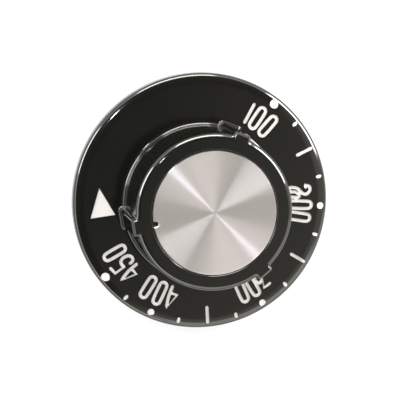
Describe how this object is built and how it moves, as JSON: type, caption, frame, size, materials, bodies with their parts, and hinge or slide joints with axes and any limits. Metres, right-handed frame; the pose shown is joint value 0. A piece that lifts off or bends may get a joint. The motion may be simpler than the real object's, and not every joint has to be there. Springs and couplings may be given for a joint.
{
  "type": "griddle thermostat knob",
  "caption": "Glossy black control knob for a griddle: flat numbered dial skirt, tall lugged grip, spun aluminium face insert, and a spring-held socket for a flatted shaft.",
  "frame": {"origin": "centre of the knob's axis on the back plane of the skirt's rim", "axes": "+Z along the shaft axis towards the user; +Y from the axis towards the index lug, the insert's notch and the shaft's flat"},
  "size_m": [0.0634, 0.0635, 0.0225],
  "materials": {
    "black_phenolic": "polished black phenolic moulding",
    "spun_aluminium": "spun, fine circular grain",
    "spring_steel": "bare rolled strip"
  },
  "bodies": {
    "root": {"knob_body": "black_phenolic", "face_insert": "spun_aluminium", "shaft_spring": "spring_steel"}
  },
  "joints": []
}
